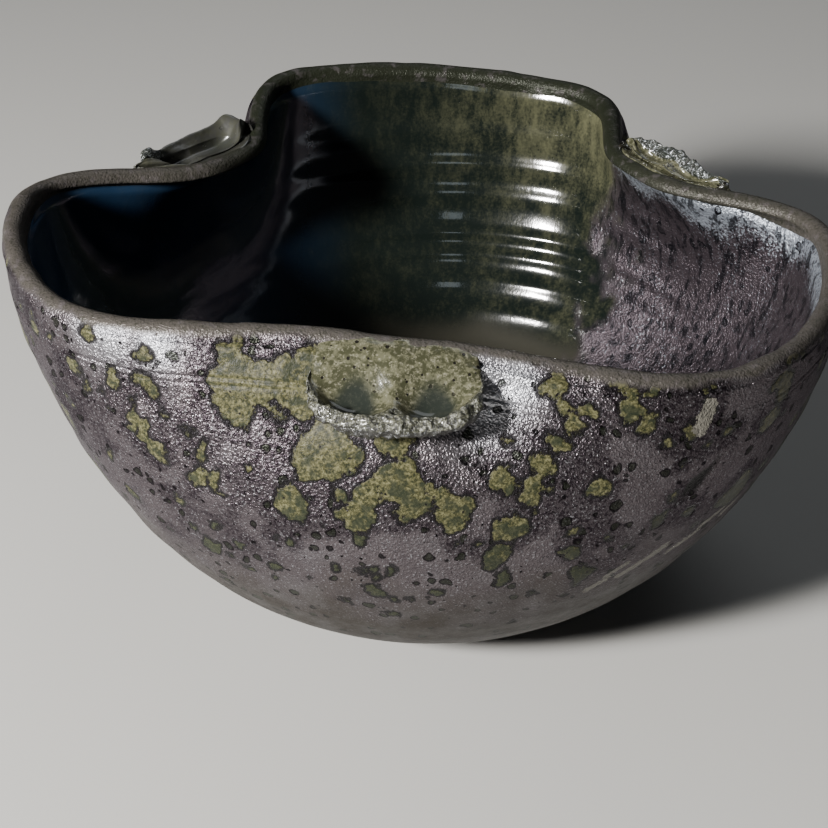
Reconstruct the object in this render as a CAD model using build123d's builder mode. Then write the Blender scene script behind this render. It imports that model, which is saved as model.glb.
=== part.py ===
"""Trefoil yarn bowl in stoneware.

A round bowl is thrown on the wheel, its soft rim is pressed in at three places, and a lug of clay
with two thumb presses in it is slipped onto the outside of the wall at each of them. The three
full lobes left between the presses hold the ball, and the yarn runs out over a pressed-in dip.
A separate foot ring stands under the floor, and a coat of liner glaze covers the inside.

Frame: origin at the centre of the foot ring's standing face, on the throwing axis. +Z points up
through the mouth and -Y towards the front lug.
"""

import os
from dataclasses import dataclass
from math import atan2, cos, exp, pi, radians, sin, sqrt

from build123d import *

# Driving dimensions, in millimetres.
LOBE_RADIUS = 95.0  # outside radius of the round bowl, which the lobes keep
RIM_HEIGHT = 93.5  # mean height of the rim above the table
WALL = 5.2  # wall thickness, measured level and square to the wall
BOTTOM_RADIUS = 39.0  # radius of the flat underside that the foot ring is set on
FLOOR = 7.0  # thickness of the floor

FOOT_HEIGHT = 4.0
FOOT_RADIUS = 33.0
FOOT_WIDTH = 6.5
FOOT_TAPER = 1.2  # how much wider the foot ring is at its top, on each side
FOOT_ROUND = 0.8

# The thrown profile runs from the edge of the underside to the rim as
# radius share = (1 - (1 - t) ** PROFILE_FLARE) ** PROFILE_BELLY, with t the share of the height.
PROFILE_FLARE = 1.81
PROFILE_BELLY = 0.663

# A press pushes the wall in by its depth at the rim, fading with the height share to this power.
PRESS_FADE = 3.0
# Around the rim a press fades as exp(-(turn / reach) ** PRESS_SHARPNESS).
PRESS_SHARPNESS = 3.0
# The rim stands this much higher than the mean on one side of the bowl, and lower on the other.
RIM_TILT = 4.3
RIM_TILT_ANGLE = 186.5

GLAZE = 0.6  # thickness of the liner glaze
GLAZE_STOP = 4.0  # how far below the rim the liner glaze ends

LUG_CORNER = 9.0  # radius of a lug's corners, seen from above
LUG_DEPTH = 12.0  # how far a lug reaches down from its crest
LUG_TAPER = 24.0  # degrees that its sides lean in on the way down
LUG_ROUND = 2.0  # fillet around its crest
LUG_RUN = 26.0  # how far in from its crest its blank runs, before it is cut to the wall
THUMB_RADIUS = 0.25  # radius of the ball that each thumb press leaves, in widths of the lug
THUMB_SPACING = 0.45  # distance between the middles of the two, in widths of the lug
THUMB_RISE = 2.4  # height of the ball's centre above the crest
CREST_WIDTH = 2.6  # clay left outside the thumb presses, at the crest

RING_POINTS = 60  # points around each closed curve that the wall is lofted through
# How far up the wall those curves lie, closer together near the underside, where the wall turns.
WALL_PARTS = (0.0, 0.012, 0.045, 0.1, 0.18, 0.28, 0.4, 0.53, 0.66, 0.78, 0.89, 0.96, 1.0)
EDGE_STEPS = 6  # the curves over a round edge divide its half turn into this many steps
CUTTER_TOP = 120.0  # height of the top of the solid that the lugs are cut to


@dataclass(frozen=True)
class Press:
    """One place where the rim was pressed in, and the lug on it. Angles are in degrees from +X,
    anticlockwise."""

    name: str
    angle: float
    depth: float
    reach_left: float  # how far it spreads anticlockwise
    reach_right: float  # how far it spreads clockwise
    rim_drop: float  # how far it takes the rim down; the front press lifts it
    lug_angle: float
    crest_radius: float  # how far the lug's crest stands from the axis
    crest_height: float
    crest_lean: float  # degrees that the lug's top leans down outwards
    lug_width: float

    def share(self, angle):
        """How much of this press is felt at an angle, from 0 to 1."""
        turn = (angle - self.angle + 180) % 360 - 180
        reach = self.reach_left if turn > 0 else self.reach_right
        return exp(-(abs(turn / reach) ** PRESS_SHARPNESS))


PRESSES = (
    Press("front", 270.0, 25.5, 36.7, 38.2, -4.2, 271.5, 83.5, 91.5, 14.0, 37.5),
    Press("back_left", 148.5, 31.2, 24.0, 19.1, 5.7, 151.0, 74.5, 93.8, 0.0, 37.5),
    Press("back_right", 40.2, 29.5, 18.7, 21.5, 0.0, 36.5, 73.0, 92.0, 0.0, 33.5),
)


def rim_height(angle):
    """Height of the rim above the table at an angle."""
    tilt = RIM_TILT * cos(radians(angle - RIM_TILT_ANGLE))
    return RIM_HEIGHT + tilt - sum(press.rim_drop * press.share(angle) for press in PRESSES)


def bottom_height(inset):
    """Height of the underside, or, with an inset, of the floor of the wall surface inside it."""
    return FOOT_HEIGHT if inset == 0 else FOOT_HEIGHT + FLOOR + inset - WALL


def wall_radius(angle, share):
    """Radius of the outside wall at a height share, from 0 at the underside to 1 at the rim."""
    swell = (1 - (1 - share) ** PROFILE_FLARE) ** PROFILE_BELLY
    thrown = BOTTOM_RADIUS + (LOBE_RADIUS - BOTTOM_RADIUS) * swell
    return thrown - share**PRESS_FADE * sum(press.depth * press.share(angle) for press in PRESSES)


def ring(inset, share_of, height_of):
    """A closed curve around the wall, whose height share and height are functions of the angle,
    moved in by the inset, level and square to the wall."""
    step = 0.1
    points = []
    for k in range(RING_POINTS):
        angle = 360 * k / RING_POINTS
        share = share_of(angle)
        radius = wall_radius(angle, share)
        change = wall_radius(angle + step, share) - wall_radius(angle - step, share)
        lean = radians(angle) - atan2(change / radians(2 * step), radius)
        x = radius * cos(radians(angle)) - inset * cos(lean)
        y = radius * sin(radians(angle)) - inset * sin(lean)
        points.append((x, y, height_of(angle)))
    places = [k / RING_POINTS for k in range(RING_POINTS + 1)]
    return Wire(Edge.make_spline(points, periodic=True, parameters=places))


def wall_rings(inset, top_drop):
    """The rings of one wall surface, from its floor up to a drop below the rim."""
    floor = bottom_height(inset)

    def ring_at(part):
        def height_of(angle):
            return floor + part * (rim_height(angle) - top_drop - floor)

        def share_of(angle):
            return (height_of(angle) - floor) / (rim_height(angle) - floor)

        return ring(inset, share_of, height_of)

    return [ring_at(part) for part in WALL_PARTS]


def edge_rings(outer, inner, top_drop):
    """The rings over the round edge between two wall surfaces, without its first and last."""
    half = (inner - outer) / 2

    def ring_at(turn):
        inset = outer + half * (1 - cos(turn))
        floor = bottom_height(inset)

        def height_of(angle):
            return rim_height(angle) - top_drop - half * (1 - sin(turn))

        def share_of(angle):
            return (height_of(angle) - floor) / (rim_height(angle) - floor)

        return ring(inset, share_of, height_of)

    return [ring_at(pi * k / EDGE_STEPS) for k in range(1, EDGE_STEPS)]


def closed_solid(*lofts):
    """The solid whose skin is the lofts through lists of rings, closed by a flat face on the first
    ring of the first list and the last ring of the last."""
    faces = [face for rings in lofts for face in Shell.make_loft(rings, len(rings) == 2).faces()]
    return Solid(Shell([*faces, Face(lofts[0][0]), Face(lofts[-1][-1])]))


def wall_between(outer, inner, top_drop):
    """The solid between two wall surfaces and their floors. It ends a drop below the rim, in a
    round edge."""
    half = (inner - outer) / 2
    up = wall_rings(outer, top_drop + half)
    down = wall_rings(inner, top_drop + half)[::-1]
    return closed_solid(up, [up[-1], *edge_rings(outer, inner, top_drop), down[0]], down)


def filled_bowl():
    """The solid inside the outside wall, carried straight up past the rim."""
    up = wall_rings(0, 0)
    mouth = ring(0, lambda angle: 1.0, lambda angle: CUTTER_TOP)
    return closed_solid(up, [up[-1], mouth])


def thumb_lug(press):
    """A lug of clay on the wall: a shelf with two thumb presses side by side in its top. Its back is
    cut to the wall."""
    side = radians(press.lug_angle)
    lean = radians(press.crest_lean)
    crest = Plane(
        origin=(press.crest_radius * cos(side), press.crest_radius * sin(side), press.crest_height),
        x_dir=(-sin(side), cos(side), 0),
        z_dir=(cos(side) * sin(lean), sin(side) * sin(lean), cos(lean)),
    )
    upwards = Axis(crest.origin, crest.z_dir)
    # The plane's Y points in, towards the axis, because its X runs anticlockwise.
    thumb_radius = THUMB_RADIUS * press.lug_width
    thumb_x = THUMB_SPACING * press.lug_width / 2
    thumb_y = CREST_WIDTH + sqrt(thumb_radius**2 - THUMB_RISE**2)
    with BuildPart() as lug:
        with BuildSketch(crest):
            with Locations((0, LUG_RUN / 2)):
                RectangleRounded(press.lug_width, LUG_RUN, LUG_CORNER)
        extrude(amount=-LUG_DEPTH, taper=LUG_TAPER)
        fillet(lug.faces().sort_by(upwards).last.edges(), LUG_ROUND)
        with Locations(crest.offset(THUMB_RISE)):
            with Locations((-thumb_x, thumb_y), (thumb_x, thumb_y)):
                Sphere(thumb_radius, mode=Mode.SUBTRACT)
        add(wall_cutter, mode=Mode.SUBTRACT)
    return lug.part


os.makedirs("parts", exist_ok=True)
wall_cutter = filled_bowl()

# The clay wall and floor, thrown in one piece.
with BuildPart() as thrown_bowl:
    add(wall_between(0, WALL, 0))
thrown_bowl.part.label = "thrown_bowl"
export_step(thrown_bowl.part, "parts/thrown_bowl.step")

# The ring that the bowl stands on, turned and set under the floor.
with BuildPart() as foot_ring:
    with BuildSketch(Plane.XZ):
        with BuildLine():
            Polyline(
                (FOOT_RADIUS - FOOT_WIDTH, 0),
                (FOOT_RADIUS, 0),
                (FOOT_RADIUS + FOOT_TAPER, FOOT_HEIGHT),
                (FOOT_RADIUS - FOOT_WIDTH - FOOT_TAPER, FOOT_HEIGHT),
                close=True,
            )
        make_face()
    revolve(axis=Axis.Z)
    fillet(foot_ring.faces().sort_by(Axis.Z).first.edges(), FOOT_ROUND)
foot_ring.part.label = "foot_ring"
export_step(foot_ring.part, "parts/foot_ring.step")

# The coat of glaze that lines the floor and the inside of the wall.
with BuildPart() as liner_glaze:
    add(wall_between(WALL, WALL + GLAZE, GLAZE_STOP))
liner_glaze.part.label = "liner_glaze"
export_step(liner_glaze.part, "parts/liner_glaze.step")

# The three lugs, one on each press.
for press in PRESSES:
    with BuildPart() as lug:
        add(thumb_lug(press))
    lug.part.label = f"{press.name}_thumb_lug"
    export_step(lug.part, f"parts/{press.name}_thumb_lug.step")
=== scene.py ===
"""Looks of the trefoil yarn bowl in stoneware, built around its CAD model.

The bowl is thrown, its rim is pressed in at three places, a thumb-pressed lug is slipped onto the
outside of each press, and the pot is glazed: a lustre glaze with olive spots outside and a dark
liner glaze inside. Sizes are in millimetres until they are written into a mesh, which is in metres.
Angles around the bowl are in degrees from +X, anticlockwise, seen from above.
"""

import logging
import math
from dataclasses import dataclass, field
from enum import Enum
from typing import Any, Dict, Sequence, Tuple, Union

import bpy
import numpy as np
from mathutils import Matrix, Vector


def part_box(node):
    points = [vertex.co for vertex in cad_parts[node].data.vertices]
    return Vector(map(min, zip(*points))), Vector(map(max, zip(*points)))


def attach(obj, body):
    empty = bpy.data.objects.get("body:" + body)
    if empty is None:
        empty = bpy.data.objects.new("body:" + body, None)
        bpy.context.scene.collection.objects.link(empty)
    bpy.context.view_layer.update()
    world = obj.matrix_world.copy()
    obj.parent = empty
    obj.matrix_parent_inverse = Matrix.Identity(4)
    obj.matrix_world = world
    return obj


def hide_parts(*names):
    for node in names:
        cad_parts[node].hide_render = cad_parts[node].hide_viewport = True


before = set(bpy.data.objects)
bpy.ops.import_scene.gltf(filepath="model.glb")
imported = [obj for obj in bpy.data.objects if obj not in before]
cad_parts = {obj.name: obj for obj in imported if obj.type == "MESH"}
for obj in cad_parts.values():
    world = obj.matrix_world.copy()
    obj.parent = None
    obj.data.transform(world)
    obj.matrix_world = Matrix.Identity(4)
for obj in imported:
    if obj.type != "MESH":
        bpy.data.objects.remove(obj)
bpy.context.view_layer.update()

LOG = logging.getLogger("yarn_bowl")
MM = 0.001
HALF_TURN, FULL_TURN = 180.0, 360.0

# Radii of the rows that fill a flat disc, as shares of its own radius.
DISC_SHARES = (0.08, 0.35, 0.6, 0.8, 0.93)

# Large odd numbers that scramble a lattice corner's three indices, its seed and their sum.
SCRAMBLE = (374761393, 668265263, 362437)
SCRAMBLE_SEED, SCRAMBLE_SUM = 974634777, 1274126177

Array = np.ndarray
Colour = Tuple[float, float, float]
Spot = Tuple[float, float]  # how far round and how far up the wall, in degrees and millimetres
Cloud = Tuple[Spot, float]  # its middle, and its reach in millimetres


# --------------------------------------------------------------------------------------------
# Shapes worked out on grids
# --------------------------------------------------------------------------------------------


def smooth(value: Array, low: float, high: float) -> Array:
    """A smooth step from 0 at low to 1 at high.

    Formula: with t the share of the way from low to high, held between 0 and 1, t squared times
    (3 minus twice t).

    Args:
        value: where it is read.
        low: the value that gives 0.
        high: the value that gives 1.

    Returns:
        The step, from 0 to 1.
    """
    share = np.clip((value - low) / (high - low), 0.0, 1.0)
    return share * share * (3.0 - 2.0 * share)


def bell(value: Array, centre: float, width: float) -> Array:
    """A bell: e to the minus squared distance from the centre, in widths."""
    return np.exp(-(((value - centre) / width) ** 2))


def turn_from(angle: Array, middle: float) -> Array:
    """The turn from a middle angle to an angle, from -180 to 180 degrees."""
    return (angle - middle + HALF_TURN) % FULL_TURN - HALF_TURN


def disc(row: Array) -> Array:
    """Rows that fill in a level row towards the axis.

    Formula: the row's x and y are multiplied by each share in turn, and its z is left.

    Args:
        row: the points of the outermost row, as one by columns by three.

    Returns:
        The rows, from the innermost outwards, without the row itself.
    """
    shares = np.array(DISC_SHARES)[:, None, None]
    return row * np.concatenate([shares, shares, np.ones_like(shares)], axis=-1)


def link(name: str, data: bpy.types.ID) -> bpy.types.Object:
    """Puts a mesh, a light or a camera into the scene.

    Args:
        name: the new object's name.
        data: what it shows.

    Returns:
        The object, at the origin.
    """
    made = bpy.data.objects.new(name, data)
    bpy.context.scene.collection.objects.link(made)
    return made


@dataclass(frozen=True)
class LatticeNoise:
    """Smooth noise from random values on a cubic lattice.

    Attributes:
        size: edge of one lattice cell, in millimetres.
        seed: which set of random values is used.
    """

    size: float
    seed: int

    def corner(self, cell: Array) -> Array:
        """A random value for each lattice corner.

        Formula: the three indices and the seed, each times a large number, are added up, and the
        sum's bits are folded onto themselves twice; the lowest 16 give the value.

        Args:
            cell: the corners' whole-number places, with the three indices along the last axis.

        Returns:
            The values, from -1 to 1, without the last axis.
        """
        mixed = cell[..., 0] * SCRAMBLE[0] + cell[..., 1] * SCRAMBLE[1] + cell[..., 2] * SCRAMBLE[2]
        mixed = mixed + self.seed * SCRAMBLE_SEED
        mixed = (mixed ^ (mixed >> 13)) * SCRAMBLE_SUM
        mixed = mixed ^ (mixed >> 16)
        return (mixed & 0xFFFF) / 32767.5 - 1.0

    def at(self, points: Array) -> Array:
        """The noise at points.

        Formula: each cell's eight corner values, weighted by smooth steps of the point's place
        along the three edges of its cell.

        Args:
            points: places in millimetres, with x, y and z along the last axis.

        Returns:
            The noise, from -1 to 1, without the last axis.
        """
        scaled = np.asarray(points, float) / self.size
        cell = np.floor(scaled).astype(np.int64)
        part = scaled - cell
        part = part * part * (3.0 - 2.0 * part)
        total = np.zeros(scaled.shape[:-1])
        for corner in np.ndindex(2, 2, 2):
            weight = np.prod(np.where(np.array(corner) == 1, part, 1.0 - part), axis=-1)
            total = total + weight * self.corner(cell + np.array(corner))
        return total


@dataclass
class GridPiece:
    """A closed surface made of rows of points that each run round in a loop.

    Attributes:
        name: the piece's name.
        rows: the points in millimetres, as rows by columns by three.
        marks: numbers for the finish to read, each as rows by columns.
    """

    name: str
    rows: Array
    marks: Dict[str, Array] = field(default_factory=dict)

    def build(self) -> bpy.types.Object:
        """Writes the surface into a mesh, with a fan of triangles to a pole at each end.

        The columns close on themselves. Each pole is the mean of its end row.

        Returns:
            The new object, at the origin, smooth shaded.
        """
        count, around = self.rows.shape[:2]
        ends = self.rows[[0, -1]].mean(axis=1)
        points = np.concatenate([self.rows.reshape(-1, 3), ends]) * MM
        index = np.arange(count * around).reshape(count, around)
        ahead = np.roll(index, -1, axis=1)
        quads = np.stack([index[:-1], ahead[:-1], ahead[1:], index[1:]], axis=-1).reshape(-1, 4)
        first, last = count * around, count * around + 1
        low = np.stack([np.full(around, first), ahead[0], index[0]], axis=-1)
        high = np.stack([np.full(around, last), index[-1], ahead[-1]], axis=-1)
        mesh = bpy.data.meshes.new(self.name)
        mesh.vertices.add(len(points))
        mesh.vertices.foreach_set("co", points.ravel())
        corners = np.concatenate([quads.ravel(), low.ravel(), high.ravel()])
        sizes = np.concatenate([np.full(len(quads), 4), np.full(2 * around, 3)])
        starts = np.concatenate([[0], np.cumsum(sizes)[:-1]])
        mesh.loops.add(len(corners))
        mesh.loops.foreach_set("vertex_index", corners.astype(np.int32))
        mesh.polygons.add(len(sizes))
        mesh.polygons.foreach_set("loop_start", starts.astype(np.int32))
        mesh.polygons.foreach_set("loop_total", sizes.astype(np.int32))
        mesh.polygons.foreach_set("use_smooth", np.ones(len(sizes), bool))
        for mark, values in self.marks.items():
            ends = values[[0, -1]].mean(axis=1)
            layer = mesh.attributes.new(mark, "FLOAT", "POINT")
            layer.data.foreach_set("value", np.concatenate([values.ravel(), ends]).astype(np.float32))
        mesh.update(calc_edges=True)
        mesh.validate()
        return link(self.name, mesh)


@dataclass
class RingPiece:
    """A closed surface made of closed sections carried round in a closed ring.

    Attributes:
        name: the piece's name.
        rows: the points in millimetres, as sections by points of a section by three.
    """

    name: str
    rows: Array

    def build(self) -> bpy.types.Object:
        """Writes the surface into a mesh; both directions of the grid close on themselves.

        Returns:
            The new object, at the origin, smooth shaded.
        """
        sections, points = self.rows.shape[:2]
        index = np.arange(sections * points).reshape(sections, points)
        across, ahead = np.roll(index, -1, axis=1), np.roll(index, -1, axis=0)
        quads = np.stack([ahead, np.roll(across, -1, axis=0), across, index], axis=-1).reshape(-1, 4)
        mesh = bpy.data.meshes.new(self.name)
        mesh.from_pydata((self.rows.reshape(-1, 3) * MM).tolist(), [], quads.tolist())
        mesh.polygons.foreach_set("use_smooth", np.ones(len(mesh.polygons), bool))
        mesh.update()
        return link(self.name, mesh)


def surface_normals(rows: Array) -> Array:
    """The outward normals of a grid whose columns close on themselves.

    Formula: the cross product of the central differences along the columns and along the rows.

    Args:
        rows: the points, as rows by columns by three.

    Returns:
        Unit vectors, in the same layout.
    """
    along = np.roll(rows, -1, axis=1) - np.roll(rows, 1, axis=1)
    up = np.gradient(rows, axis=0)
    normals = np.cross(along, up)
    return normals / np.maximum(np.linalg.norm(normals, axis=-1, keepdims=True), 1e-9)


# --------------------------------------------------------------------------------------------
# Shader maths and nodes
# --------------------------------------------------------------------------------------------

Feed = Union["Strand", float, Sequence[float]]


class Strand:
    """A value that runs between nodes. The usual operators add the Math nodes that they need."""

    def __init__(self, bench: "Bench", socket: bpy.types.NodeSocket) -> None:
        """Wraps a socket of a material that is being made on a bench."""
        self.bench = bench
        self.socket = socket

    def __add__(self, other: Feed) -> "Strand":
        """This value plus another."""
        return self.bench.maths("ADD", self, other)

    def __sub__(self, other: Feed) -> "Strand":
        """This value minus another."""
        return self.bench.maths("SUBTRACT", self, other)

    def __rsub__(self, other: Feed) -> "Strand":
        """Another value minus this one."""
        return self.bench.maths("SUBTRACT", other, self)

    def __mul__(self, other: Feed) -> "Strand":
        """This value times another."""
        return self.bench.maths("MULTIPLY", self, other)

    def __abs__(self) -> "Strand":
        """This value without its sign."""
        return self.bench.maths("ABSOLUTE", self)

    __radd__ = __add__
    __rmul__ = __mul__

    def at_least(self, other: Feed) -> "Strand":
        """The larger of this value and another."""
        return self.bench.maths("MAXIMUM", self, other)

    def step(self, low: float, high: float) -> "Strand":
        """A smooth step of this value.

        Args:
            low: the value that gives 0.
            high: the value that gives 1, which may be less than low.

        Returns:
            The step, from 0 to 1.
        """
        falls = low > high
        feeds = {"Value": self, "From Min": min(low, high), "From Max": max(low, high)}
        feeds.update({"To Min": float(falls), "To Max": float(not falls)})
        return self.bench.out("ShaderNodeMapRange", {"interpolation_type": "SMOOTHSTEP"}, feeds)


class Bench:
    """Where one material is put together, node by node."""

    def __init__(self, name: str) -> None:
        """Starts a material with an empty node tree.

        Args:
            name: the material's name.
        """
        self.material = bpy.data.materials.new(name)
        self.material.use_nodes = True
        self.tree = self.material.node_tree
        self.tree.nodes.clear()
        self.place = self.out("ShaderNodeTexCoord", {}, {}, "Object")

    def node(self, kind: str, settings: Dict[str, Any], feeds: Dict[Union[str, int], Feed]) -> bpy.types.Node:
        """Adds one node.

        Args:
            kind: the node's type.
            settings: its properties, which are set first.
            feeds: what goes into its sockets, by name or by number: values or links.

        Returns:
            The node.
        """
        made = self.tree.nodes.new(kind)
        for name, value in settings.items():
            setattr(made, name, value)
        for name, value in feeds.items():
            if isinstance(value, Strand):
                self.tree.links.new(value.socket, made.inputs[name])
            elif isinstance(value, tuple) and made.inputs[name].type == "RGBA":
                made.inputs[name].default_value = (*value, 1.0)
            else:
                made.inputs[name].default_value = value
        return made

    def out(self, kind: str, settings: Dict[str, Any], feeds: Dict[Union[str, int], Feed],
            output: Union[str, int] = 0) -> Strand:
        """Adds one node and gives one of its outputs."""
        return Strand(self, self.node(kind, settings, feeds).outputs[output])

    def maths(self, operation: str, *values: Feed) -> Strand:
        """Adds a Math node on values."""
        return self.out("ShaderNodeMath", {"operation": operation}, dict(enumerate(values)))

    def mix(self, share: Feed, first: Feed, second: Feed, blend: str = "MIX") -> Strand:
        """Mixes two colours, from the first at 0 to the second at 1."""
        settings = {"data_type": "RGBA", "blend_type": blend}
        return self.out("ShaderNodeMix", settings, {0: share, 6: first, 7: second}, 2)

    def split(self, vector: Strand) -> Tuple[Strand, Strand, Strand]:
        """The three parts of a vector."""
        node = self.node("ShaderNodeSeparateXYZ", {}, {0: vector})
        return tuple(Strand(self, output) for output in node.outputs)

    def millimetres(self, length: Strand) -> Strand:
        """A length or a place along one axis, in millimetres."""
        return length * (1.0 / MM)

    def shift(self, vector: Strand, push: Strand, amount: float) -> Strand:
        """A place moved by a push.

        Args:
            vector: the place.
            push: the push's direction and size, as a colour whose mean is a half.
            amount: how far a push of one moves it, in millimetres.

        Returns:
            The new place.
        """
        centred = self.out("ShaderNodeVectorMath", {"operation": "SUBTRACT"}, {0: push, 1: (0.5, 0.5, 0.5)})
        settings = {"operation": "MULTIPLY_ADD"}
        scale = (amount * MM,) * 3
        return self.out("ShaderNodeVectorMath", settings, {0: centred, 1: scale, 2: vector})

    def stretch(self, vector: Strand, scale: Tuple[float, float, float]) -> Strand:
        """A place with each of its parts multiplied."""
        return self.out("ShaderNodeVectorMath", {"operation": "MULTIPLY"}, {0: vector, 1: scale})

    def offset(self, vector: Strand, by: Tuple[float, float, float]) -> Strand:
        """A place moved by millimetres along each axis."""
        metres = tuple(value * MM for value in by)
        return self.out("ShaderNodeVectorMath", {"operation": "ADD"}, {0: vector, 1: metres})

    def noise(self, vector: Strand, size: float, detail: float = 2.0, rough: float = 0.5,
              output: Union[str, int] = 0) -> Strand:
        """Noise whose coarsest features are about the size given, in millimetres."""
        feeds = {"Vector": vector, "Scale": 1.0 / (size * MM), "Detail": detail, "Roughness": rough}
        return self.out("ShaderNodeTexNoise", {}, feeds, output)

    def cells(self, vector: Strand, size: float, smoothing: float = 0.0) -> Tuple[Strand, Strand]:
        """Scattered points about a size apart, in millimetres.

        Args:
            vector: the place.
            size: the spacing of the points.
            smoothing: how far neighbouring points melt together.

        Returns:
            The distance to the nearest point in millimetres, and a random value from 0 to 1 for it.
        """
        feature = "SMOOTH_F1" if smoothing else "F1"
        feeds = {"Vector": vector, "Scale": 1.0 / (size * MM)}
        if smoothing:
            feeds["Smoothness"] = smoothing
        node = self.node("ShaderNodeTexVoronoi", {"feature": feature}, feeds)
        chance, _, _ = self.split(Strand(self, node.outputs["Color"]))
        return Strand(self, node.outputs["Distance"]) * size, chance

    def mark(self, name: str) -> Strand:
        """A number that the piece's mesh carries under a name."""
        return self.out("ShaderNodeAttribute", {"attribute_name": name}, {}, "Fac")

    def bump(self, height: Strand) -> Strand:
        """A normal from a height in millimetres."""
        return self.out("ShaderNodeBump", {}, {"Height": height, "Distance": MM, "Strength": 1.0})

    def finish(self, **feeds: Feed) -> bpy.types.Material:
        """Closes the material with a Principled shader.

        Args:
            feeds: its sockets, with spaces in their names written as underscores.

        Returns:
            The material.
        """
        named = {name.replace("_", " "): value for name, value in feeds.items()}
        shader = self.out("ShaderNodeBsdfPrincipled", {}, named)
        self.node("ShaderNodeOutputMaterial", {}, {"Surface": shader})
        return self.material


# --------------------------------------------------------------------------------------------
# Finishes
# --------------------------------------------------------------------------------------------


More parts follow.
